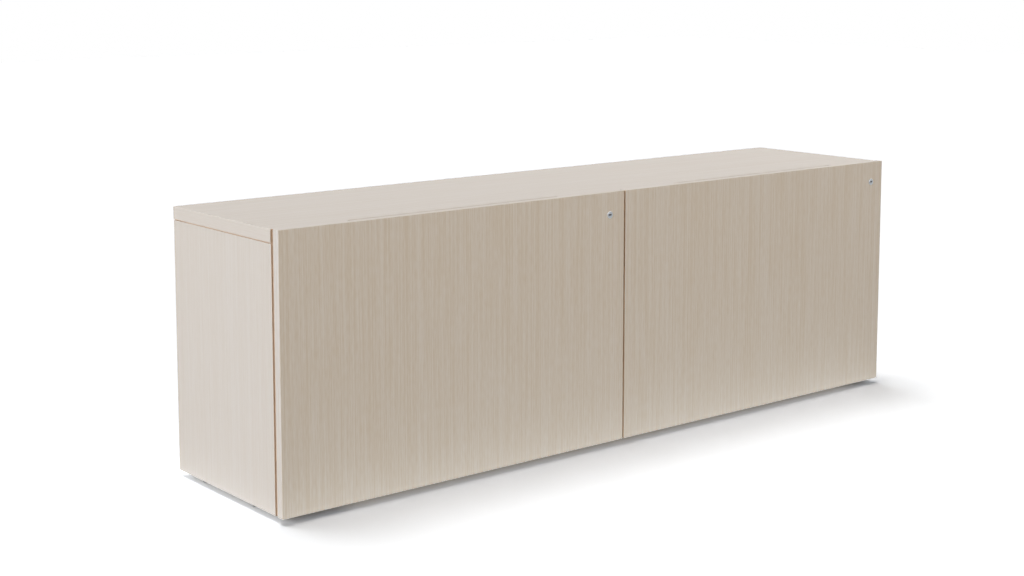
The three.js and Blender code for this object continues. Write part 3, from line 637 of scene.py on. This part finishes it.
def copies(skin, places, outward):
    """The same skin at many places, facing outward, each turned on from the last by the golden angle."""
    places = np.asarray(places, float)
    spin = np.arange(len(places)) * GOLDEN_ANGLE
    x, y, z = skin.points.T
    turned = np.stack(
        [
            np.cos(spin)[:, None] * x - np.sin(spin)[:, None] * y,
            np.sin(spin)[:, None] * x + np.cos(spin)[:, None] * y,
            np.broadcast_to(z, (len(places), len(z))),
        ],
        axis=-1,
    )
    points = turned @ outward_basis(outward) + places[:, None]
    first = np.arange(len(places))[:, None, None] * len(skin.points)
    quads = (skin.quads[None] + first).reshape(-1, 4)
    caps = (skin.caps[None] + first).reshape(-1, skin.caps.shape[1])
    return Skin(points.reshape(-1, 3), quads, caps)


def merged(*skins):
    """Several skins as lists of points and faces."""
    starts = np.cumsum([0] + [len(skin.points) for skin in skins])
    faces = []
    for skin, start in zip(skins, starts):
        faces += (skin.quads + start).tolist() + (skin.caps + start).tolist()
    return np.concatenate([skin.points for skin in skins]), faces


def add_piece(name, material, body, slot, *skins, sharp=32):
    """A mesh object of skins that rides on a body, with outward faces and edges over an angle kept sharp."""
    points, faces = merged(*skins)
    mesh = bpy.data.meshes.new(name)
    mesh.from_pydata(points.tolist(), [], faces)
    shell = bmesh.new()
    shell.from_mesh(mesh)
    bmesh.ops.recalc_face_normals(shell, faces=shell.faces)
    shell.to_mesh(mesh)
    shell.free()
    mesh.polygons.foreach_set("use_smooth", np.ones(len(mesh.polygons), dtype=bool))
    mesh.set_sharp_from_angle(angle=math.radians(sharp))
    mesh.materials.append(material)
    piece = bpy.data.objects.new(name, mesh)
    bpy.context.scene.collection.objects.link(piece)
    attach(piece, body)
    return piece


def about_lock_axis(rings, centre, face):
    """Rings drawn about Z, laid so that their height runs from a lock's face into +Y along its axis."""
    x, y, z = np.moveaxis(rings, -1, 0)
    return np.stack([centre.x + x, face + z, centre.z + y], axis=-1)


class CREDENZA_OT_laminate(bpy.types.Operator):
    """Lay the wood-grain laminate on the case and the drawer fronts"""

    bl_idname = "credenza.laminate"
    bl_label = "Laminate"

    def execute(self, context):
        look = context.scene.credenza_laminate
        fronts = laminate("laminate_fronts", look, "X", "Y", "Z", 1.45)
        dress(fronts, *(f"{bay}_drawer_front" for bay in BAYS), "back_panel")
        ends = laminate("laminate_ends", look, "Y", "X", "Z", 0.5)
        dress(ends, "left_end_panel", "right_end_panel", "centre_partition")
        dress(laminate("laminate_top", look, "Y", "Z", "X", 0.4), "top_panel", "bottom_panel")
        return {"FINISHED"}


class CREDENZA_OT_drawer_boxes(bpy.types.Operator):
    """Finish the plywood of the drawer boxes"""

    bl_idname = "credenza.drawer_boxes"
    bl_label = "Drawer boxes"

    def execute(self, context):
        look = context.scene.credenza_box
        sides = plywood("plywood_sides", look, "Z", "X", "Y")
        ends = plywood("plywood_ends", look, "Z", "Y", "X")
        floor = plywood("plywood_floor", look, "Y", "Z", "X")
        for bay in BAYS:
            dress(sides, f"{bay}_drawer_left_side", f"{bay}_drawer_right_side")
            dress(ends, f"{bay}_drawer_inner_front", f"{bay}_drawer_back")
            dress(floor, f"{bay}_drawer_bottom")
        return {"FINISHED"}


class CREDENZA_OT_slides(bpy.types.Operator):
    """Plate the slides, the folder rails and the strikes"""

    bl_idname = "credenza.slides"
    bl_label = "Slides and rails"

    def execute(self, context):
        metals = context.scene.credenza_metals
        zinc = zinc_plate(metals)
        balls = worn_metal("bearing_steel", metals.bearing, metals.bearing, 0.12, 0.26)
        for bay in BAYS:
            dress(zinc, f"{bay}_lock_strike", f"{bay}_drawer_front_file_rail", f"{bay}_drawer_rear_file_rail")
            for hand in SLIDE_HANDS:
                slide = f"{bay}_drawer_{hand}"
                dress(zinc, f"{slide}_cabinet_rail", f"{slide}_middle_rail", f"{slide}_drawer_rail")
                dress(balls, f"{slide}_outer_ball_cage", f"{slide}_inner_ball_cage")
        return {"FINISHED"}


class CREDENZA_OT_locks(bpy.types.Operator):
    """Turn the locks' housings and plugs, and plate their nuts and cams"""

    bl_idname = "credenza.locks"
    bl_label = "Locks"

    around = 64

    def housing(self, sizes, low, high):
        """A stepped tube with a rounded bezel: one closed profile carried round the axis."""
        bezel, total = (high.x - low.x) / 2, high.y - low.y
        flange, lip = 1.0 * MM, 0.15 * MM
        head, bore, barrel = sizes.head_bore / 2, sizes.plug_bore / 2, sizes.barrel / 2
        edge = corner_arc(bezel - sizes.edge, sizes.edge, sizes.edge, -90)
        profile = np.concatenate(
            [
                [[head, lip], [head + lip, 0]],
                edge,
                [[bezel, flange], [barrel, flange], [barrel, total], [bore, total]],
                [[bore, sizes.head_depth], [head, sizes.head_depth]],
            ]
        )
        return round_rings(profile, self.around)

    def plug(self, sizes, low, high):
        """A plug with a key slot: an outline carried out of the slot, over the face and down the body.

        The slot's outline is a superellipse whose power of 12 gives a rectangle with small round corners. The
        rings pass from it to the round head and body and end in the square tail.
        """
        head, total = (high.x - low.x) / 2, high.y - low.y
        turn = angles(self.around)
        power = 12
        across = np.abs(np.cos(turn) / (sizes.slot_length / 2)) ** power
        slot = (across + np.abs(np.sin(turn) / (sizes.slot_width / 2)) ** power) ** (-1 / power)
        lip, clearance, tail_length = 0.15 * MM, 0.45 * MM, 4.2 * MM
        rim, body = np.full(self.around, head), np.full(self.around, sizes.plug / 2)
        tail = square_radii(sizes.tail, self.around)
        shoulder = total - tail_length
        head_end = sizes.head_depth - clearance
        rings = [
            (slot, sizes.slot_depth),
            (slot, lip),
            (slot + lip, 0),
            (0.4 * slot + 0.6 * rim, 0),
            (rim - 2 * lip, 0),
            (rim, 2 * lip),
            (rim, head_end),
            (body, head_end),
            (body, shoulder),
            (tail, shoulder),
            (tail, total - lip),
            (tail - lip, total),
        ]
        radii, heights = zip(*rings)
        return rings_of(np.stack(radii), heights)

    def execute(self, context):
        metals, sizes = context.scene.credenza_metals, context.scene.credenza_lock
        for bay in BAYS:
            low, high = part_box(f"{bay}_lock_housing")
            centre = (low + high) / 2
            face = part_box(f"{bay}_lock_plug")[0].y
            slot_reach = sizes.slot_length / 2 + 0.2 * MM
            nickel = turned_nickel(f"{bay}_lock_nickel", metals, centre, face, slot_reach)
            rings = about_lock_axis(self.housing(sizes, low, high), centre, low.y)
            housing = add_piece(f"{bay}_lock_bezel", nickel, f"{bay}_drawer", "lock_metal", hoop(rings))
            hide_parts(f"{bay}_lock_housing")
            low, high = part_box(f"{bay}_lock_plug")
            rings = about_lock_axis(self.plug(sizes, low, high), centre, low.y)
            plug = add_piece(f"{bay}_lock_core", nickel, f"{bay}_lock", "lock_metal", loft(rings))
            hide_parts(f"{bay}_lock_plug")
            dress(zinc_plate(metals), f"{bay}_lock_nut", f"{bay}_lock_cam")
        return {"FINISHED"}


class CREDENZA_OT_glides(bpy.types.Operator):
    """Turn the levelling glides with their collars and threads"""

    bl_idname = "credenza.glides"
    bl_label = "Levelling glides"

    around = 48
    steps_per_pitch = 6

    def rings(self, sizes, low, high):
        """Rings of a glide about Z, from the floor up.

        The foot has a round lower edge and a shoulder that falls in along half a cosine. The collar is a
        hexagon with a turned chamfer. The thread's radius is the stem's less its depth times a triangle wave
        of the height over the pitch less the share of a turn, which makes a right-hand helix.
        """
        foot = (high.x - low.x) / 2
        edge = corner_arc(foot - sizes.edge, sizes.edge, sizes.edge, -90)
        rise = np.linspace(0, 1, 9)[1:]
        shoulder = sizes.shoulder / 2
        fall = np.stack(
            [
                shoulder + (foot - shoulder) * (1 + np.cos(math.pi * rise)) / 2,
                sizes.edge + (sizes.height - sizes.edge) * rise,
            ],
            axis=-1,
        )
        turned = round_rings(np.concatenate([edge, fall]), self.around)
        hexagon = hexagon_radii(sizes.collar, self.around)
        crown = np.minimum(hexagon, 0.525 * sizes.collar)
        chamfer = 0.7 * MM
        collar = rings_of(
            np.stack([hexagon, hexagon, crown]),
            [sizes.height, sizes.collar_top - chamfer, sizes.collar_top],
        )
        count = int((high.z - sizes.collar_top) / sizes.pitch * self.steps_per_pitch)
        heights = np.linspace(sizes.collar_top, high.z, count)
        phase = heights[:, None] / sizes.pitch - angles(self.around) / (2 * math.pi)
        wave = 2 * np.abs(phase % 1 - 0.5)
        ends = np.minimum(high.z - heights, heights - sizes.collar_top) / sizes.pitch
        fade = np.clip(ends, 0, 1)[:, None]
        thread = rings_of(sizes.stem / 2 - sizes.thread * (1 - (1 - wave) * fade), heights)
        return np.concatenate([turned, collar, thread])

    def execute(self, context):
        sizes = context.scene.credenza_glide
        plastic = moulded("foot_plastic", context.scene.credenza_metals.foot, 0.45 * MM, 0.55, 0.15)
        for place in GLIDES:
            low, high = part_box(f"{place}_glide")
            middle = np.array([(low.x + high.x) / 2, (low.y + high.y) / 2, 0])
            skin = loft(self.rings(sizes, low, high) + middle)
            piece = add_piece(f"{place}_levelling_glide", plastic, f"{place}_foot", "foot_plastic", skin)
            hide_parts(f"{place}_glide")
        return {"FINISHED"}


class CREDENZA_OT_counterweights(bpy.types.Operator):
    """Paint the counterweights and bolt them to the back"""

    bl_idname = "credenza.counterweights"
    bl_label = "Counterweights"

    bolt_inset = 60 * MM

    def execute(self, context):
        metals, sizes = context.scene.credenza_metals, context.scene.credenza_fasteners
        paint = moulded("black_paint", metals.black, 0.9 * MM, 0.45, 0.3)
        dress(paint, *(f"{bay}_counterweight" for bay in BAYS))
        bolt = hexagon_bolt(sizes.bolt_flats, sizes.bolt_height, sizes.washer)
        for bay in BAYS:
            low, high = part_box(f"{bay}_counterweight")
            spots = np.linspace(low.x + self.bolt_inset, high.x - self.bolt_inset, 3)
            places = [(x, low.y, (low.z + high.z) / 2) for x in spots]
            bolts = copies(bolt, places, (0, -1, 0))
            add_piece(f"{bay}_counterweight_bolts", zinc_plate(metals), "cabinet", "zinc_steel", bolts)
        return {"FINISHED"}


class CREDENZA_OT_screws(bpy.types.Operator):
    """Put in the screws of the back, the slides, the folder rails, the fronts and the cams"""

    bl_idname = "credenza.screws"
    bl_label = "Screws"

    edge_inset = 9.5 * MM
    rail_shares = (0.12, 0.37, 0.63, 0.88)
    file_rail_shares = (0.04, 0.35, 0.65, 0.96)
    file_rail_gauge = 2 * MM
    file_rail_screw_rise = 7 * MM
    slide_gauge = 1.2 * MM
    front_columns = (0.12, 0.5, 0.88)
    front_rows = (0.22, 0.78)

    def back_places(self, sizes):
        """Screws along the top, the foot and the three uprights that the back is fixed to."""
        low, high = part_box("back_panel")
        columns = np.linspace(low.x + self.edge_inset, high.x - self.edge_inset, sizes.back_columns)
        rows = np.linspace(low.z + self.edge_inset, high.z - self.edge_inset, sizes.back_rows + 2)[1:-1]
        level = [(x, high.y, z) for x in columns for z in (low.z + self.edge_inset, high.z - self.edge_inset)]
        return level + [(x, high.y, z) for x in (columns[0], 0.0, columns[-1]) for z in rows]

    def drawer_screws(self, bay, head):
        """Screws that ride on a drawer: in its slide rails, and from inside in its folder rails and front."""
        skins = []
        for hand, outward in zip(SLIDE_HANDS, (-1, 1)):
            low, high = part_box(f"{bay}_drawer_{hand}_drawer_rail")
            web = high.x - self.slide_gauge if outward < 0 else low.x + self.slide_gauge
            ys = low.y + np.array(self.rail_shares) * (high.y - low.y)
            skins.append(copies(head, [(web, y, (low.z + high.z) / 2) for y in ys], (outward, 0, 0)))
        for end, outward in (("front", 1), ("rear", -1)):
            low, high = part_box(f"{bay}_drawer_{end}_file_rail")
            wall = low.y + self.file_rail_gauge if outward > 0 else high.y - self.file_rail_gauge
            xs = low.x + np.array(self.file_rail_shares) * (high.x - low.x)
            level = low.z + self.file_rail_screw_rise
            skins.append(copies(head, [(x, wall, level) for x in xs], (0, outward, 0)))
        low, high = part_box(f"{bay}_drawer_inner_front")
        spots = [
            (low.x + u * (high.x - low.x), high.y, low.z + v * (high.z - low.z))
            for u in self.front_columns
            for v in self.front_rows
        ]
        return skins + [copies(head, spots, (0, 1, 0))]

    def execute(self, context):
        sizes = context.scene.credenza_fasteners
        zinc = zinc_plate(context.scene.credenza_metals)
        head = pan_head(sizes.head, sizes.head_height)
        back = copies(head, self.back_places(sizes), (0, 1, 0))
        add_piece("back_screws", zinc, "cabinet", "zinc_steel", back)
        cam_head = pan_head(sizes.cam_head, sizes.head_height)
        for bay in BAYS:
            skins = self.drawer_screws(bay, head)
            add_piece(f"{bay}_drawer_screws", zinc, f"{bay}_drawer", "zinc_steel", *skins)
            low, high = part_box(f"{bay}_lock_plug")
            place = ((low.x + high.x) / 2, high.y, (low.z + high.z) / 2)
            screw = copies(cam_head, [place], (0, 1, 0))
            add_piece(f"{bay}_cam_screw", zinc, f"{bay}_lock", "zinc_steel", screw)
        return {"FINISHED"}


class CREDENZA_OT_studio(bpy.types.Operator):
    """Set the white floor, the surrounding light, five soft lamps and the camera"""

    bl_idname = "credenza.studio"
    bl_label = "Studio"

    def glow_beside(self, tree, axes, setup):
        """Strength of the floor's extra light: full beside the object's foot, and fading over a reach."""
        past = {}
        for axis, edge in (("X", CAD_HIGH.x), ("Y", CAD_HIGH.y)):
            out = calculate(tree, "SUBTRACT", calculate(tree, "ABSOLUTE", axes[axis]), edge)
            past[axis] = calculate(tree, "MAXIMUM", out, 0.0)
        ends = calculate(tree, "MULTIPLY", past["X"], setup.glow_fall)
        beside = node_output(tree, "ShaderNodeCombineXYZ", {0: ends, 1: past["Y"]})
        away = node_output(tree, "ShaderNodeVectorMath", {0: beside}, "Value", operation="LENGTH")
        fall = stretch(tree, away, 0.0, setup.glow_reach, setup.floor_glow, 0.0)
        return calculate(tree, "MULTIPLY", fall, calculate(tree, "GREATER_THAN", away, 0.0))

    def light_under_end(self, tree, axes, setup):
        """Share of light on the floor by the left end: 1 left of its outer face, and 0 a reach under it.

        It goes up to a reach deeper by the rear, and fades over a reach towards the front.
        """
        reach = setup.under_reach
        rear = stretch(tree, axes["Y"], CAD_HIGH.y - reach, CAD_HIGH.y, 0.0, reach)
        depth = calculate(tree, "SUBTRACT", calculate(tree, "SUBTRACT", axes["X"], CAD_LOW.x), rear)
        light = stretch(tree, depth, 0.0, reach, 1.0, 0.0)
        behind = stretch(tree, axes["Y"], CAD_LOW.y, CAD_LOW.y + reach)
        return calculate(tree, "MULTIPLY", light, behind)

    def painted_corner_shadows(self, tree, axes, setup):
        """Share of two painted shadows on the floor: 1 behind the front by its lower corners, and 0
        elsewhere.

        A patch fades over 0.7 of its reach to both sides, over a reach to the rear and quickly at the front.
        """
        reach, edge = setup.corner_reach, 8 * MM
        aside = calculate(tree, "ABSOLUTE", calculate(tree, "SUBTRACT", axes["X"], setup.corner_shift))
        middle = CAD_HIGH.x - setup.corner_inset
        off = calculate(tree, "ABSOLUTE", calculate(tree, "SUBTRACT", aside, middle))
        along = stretch(tree, off, 0.3 * reach, reach, 1.0, 0.0)
        behind = stretch(tree, axes["Y"], CAD_LOW.y - edge, CAD_LOW.y + edge)
        ahead = stretch(tree, axes["Y"], CAD_LOW.y + reach, CAD_LOW.y + 2 * reach, 1.0, 0.0)
        return calculate(tree, "MULTIPLY", along, calculate(tree, "MINIMUM", behind, ahead))

    def floor_paint(self, setup):
        """Matt paint that the camera sees paler, with light of its own in the shadow and beside the object.

        The camera sees only the light in the shadow, and the object only the light beside it. By the front's
        lower corners that light is dimmed into two painted shadows.
        """
        paint = bpy.data.materials.new("studio_floor")
        paint.use_nodes = True
        tree = paint.node_tree
        tree.nodes.clear()
        seen = node_output(tree, "ShaderNodeLightPath", output="Is Camera Ray")
        sent = tuple(setup.floor_bounce * c for c in setup.floor_tint)
        shown = tuple(setup.floor_shown * c for c in setup.floor_tint)
        matt = node_output(tree, "ShaderNodeBsdfDiffuse", {"Color": blend_colours(tree, seen, sent, shown)})
        axes = parts_of(tree, object_place(tree))
        unseen = calculate(tree, "SUBTRACT", 1.0, seen)
        strength = calculate(tree, "MULTIPLY", self.glow_beside(tree, axes, setup), unseen)
        inputs = {"Color": (*setup.glow_colour, 1), "Strength": strength}
        glow = node_output(tree, "ShaderNodeEmission", inputs)
        # Painted shadows by the front's lower corners dim the floor's own light in the shadow; painted light
        # brightens it by the left end.
        dark = self.painted_corner_shadows(tree, axes, setup)
        shadow = blend_colours(tree, dark, setup.shadow_colour, setup.corner_shadow_colour)
        light = self.light_under_end(tree, axes, setup)
        lift = blend_colours(tree, light, shadow, setup.under_colour)
        lifted = node_output(tree, "ShaderNodeEmission", {"Color": lift, "Strength": seen})
        own_light = node_output(tree, "ShaderNodeAddShader", {0: glow, 1: lifted})
        surface = node_output(tree, "ShaderNodeAddShader", {0: matt, 1: own_light})
        add_node(tree, "ShaderNodeOutputMaterial", {"Surface": surface})
        return paint

    def floor(self, setup):
        """A square of floor that looks white and keeps the shadow."""
        half = setup.floor_size / 2
        corners = [(-half, -half, 0), (half, -half, 0), (half, half, 0), (-half, half, 0)]
        mesh = bpy.data.meshes.new("studio_floor")
        mesh.from_pydata(corners, [], [(0, 1, 2, 3)])
        mesh.materials.append(self.floor_paint(setup))
        floor = bpy.data.objects.new("studio_floor", mesh)
        bpy.context.scene.collection.objects.link(floor)
        return floor

    def surroundings(self, setup):
        """A world that is white to the camera, even as light, and brightest overhead in a mirror."""
        world = bpy.data.worlds.new("studio_white")
        world.use_nodes = True
        tree = world.node_tree
        tree.nodes.clear()
        rays = add_node(tree, "ShaderNodeLightPath").outputs
        towards = parts_of(tree, node_output(tree, "ShaderNodeTexCoord", output="Generated"))
        level = stretch(tree, towards["Y"], -0.4, 0.5, setup.mirrored_front, setup.mirrored_back)
        overhead = stretch(tree, towards["Z"], 0.35, 0.65, 0.0, setup.mirrored_high)
        mirrored = calculate(tree, "ADD", level, overhead)
        shown = calculate(tree, "MAXIMUM", rays["Is Camera Ray"], rays["Is Transmission Ray"])
        inputs = {0: rays["Is Glossy Ray"], 2: setup.ambient, 3: mirrored}
        lit = node_output(tree, "ShaderNodeMix", inputs)
        strength = node_output(tree, "ShaderNodeMix", {0: shown, 2: lit, 3: 1.0})
        inputs = {"Color": (1, 1, 1, 1), "Strength": strength}
        light = node_output(tree, "ShaderNodeBackground", inputs)
        add_node(tree, "ShaderNodeOutputWorld", {"Surface": light})
        bpy.context.scene.world = world

    def receivers(self, name, floor, state):
        """A set of receivers for a lamp: only the floor for INCLUDE, and all but the floor for EXCLUDE."""
        made = bpy.data.collections.new(name)
        made.objects.link(floor)
        made.collection_objects[0].light_linking.link_state = state
        return made

    def lamp(self, name, came_from, strength, tint, softness, receivers):
        """A soft sun lamp whose light comes from a direction and falls only on its receivers."""
        data = bpy.data.lights.new(name, "SUN")
        data.energy, data.color, data.angle = strength, tint, softness
        made = bpy.data.objects.new(name, data)
        made.rotation_euler = Vector(came_from).to_track_quat("Z", "Y").to_euler()
        made.light_linking.receiver_collection = receivers
        bpy.context.scene.collection.objects.link(made)
        return made

    def camera(self, setup):
        """The photograph's camera: place, heading, tilt, focal length and the small rise of its lens."""
        data = bpy.data.cameras.new("photograph_camera")
        data.sensor_fit = "HORIZONTAL"
        data.sensor_width = SENSOR_WIDTH_MM
        data.lens = setup.focal_pixels / IMAGE_WIDTH * SENSOR_WIDTH_MM
        data.shift_y = (setup.centre_row - IMAGE_HEIGHT / 2) / IMAGE_WIDTH
        made = bpy.data.objects.new("photograph_camera", data)
        made.location = setup.camera_place
        made.rotation_euler = (math.pi / 2 - setup.camera_tilt, 0, -setup.camera_heading)
        bpy.context.scene.collection.objects.link(made)
        bpy.context.scene.camera = made

    def execute(self, context):
        setup = context.scene.credenza_studio
        floor = self.floor(setup)
        self.surroundings(setup)
        raised = self.receivers("all_but_floor", floor, "EXCLUDE")
        ground = self.receivers("only_floor", floor, "INCLUDE")
        soft, high_soft = setup.softness, setup.high_softness
        self.lamp("key_lamp", setup.key_from, setup.key_strength, setup.key_colour, soft, raised)
        fill = self.lamp("fill_lamp", setup.fill_from, setup.fill_strength, setup.fill_colour, soft, raised)
        # The locks face this lamp, and would mirror it as plain white.
        fill.visible_glossy = False
        self.lamp("side_lamp", setup.side_from, setup.side_strength, setup.fill_colour, soft, raised)
        self.lamp("high_lamp", setup.high_from, setup.high_strength, setup.high_colour, high_soft, raised)
        self.lamp(
            "ground_lamp", setup.ground_from, setup.ground_strength, setup.ground_colour, high_soft, ground
        )
        self.camera(setup)
        context.scene.view_settings.view_transform = "Standard"
        return {"FINISHED"}


OPERATORS = (
    CREDENZA_OT_laminate,
    CREDENZA_OT_drawer_boxes,
    CREDENZA_OT_slides,
    CREDENZA_OT_locks,
    CREDENZA_OT_glides,
    CREDENZA_OT_counterweights,
    CREDENZA_OT_screws,
    CREDENZA_OT_studio,
)

SETTINGS = {
    "credenza_laminate": LaminateFinish,
    "credenza_box": BoxFinish,
    "credenza_metals": MetalFinish,
    "credenza_lock": LockSizes,
    "credenza_glide": GlideSizes,
    "credenza_fasteners": FastenerSizes,
    "credenza_studio": StudioSetup,
}


class CREDENZA_PT_sidebar(bpy.types.Panel):
    """Settings and steps of the credenza"""

    bl_idname = "CREDENZA_PT_sidebar"
    bl_label = "Credenza"
    bl_space_type = "VIEW_3D"
    bl_region_type = "UI"
    bl_category = "Credenza"

    def draw(self, context):
        for operator in OPERATORS:
            self.layout.operator(operator.bl_idname)
        for name, group in SETTINGS.items():
            settings = self.layout.box()
            for prop in group.__annotations__:
                settings.prop(getattr(context.scene, name), prop)


CLASSES = (*SETTINGS.values(), *OPERATORS, CREDENZA_PT_sidebar)


def register():
    """Register the classes, and hang their settings on the scene."""
    for cls in CLASSES:
        bpy.utils.register_class(cls)
    for name, group in SETTINGS.items():
        setattr(bpy.types.Scene, name, PointerProperty(type=group))


def unregister():
    """Undo what register does."""
    for name in SETTINGS:
        delattr(bpy.types.Scene, name)
    for cls in reversed(CLASSES):
        bpy.utils.unregister_class(cls)


def main():
    register()
    bpy.ops.credenza.laminate()
    bpy.ops.credenza.drawer_boxes()
    bpy.ops.credenza.slides()
    bpy.ops.credenza.locks()
    bpy.ops.credenza.glides()
    bpy.ops.credenza.counterweights()
    bpy.ops.credenza.screws()
    bpy.ops.credenza.studio()


if __name__ == "__main__":
    main()
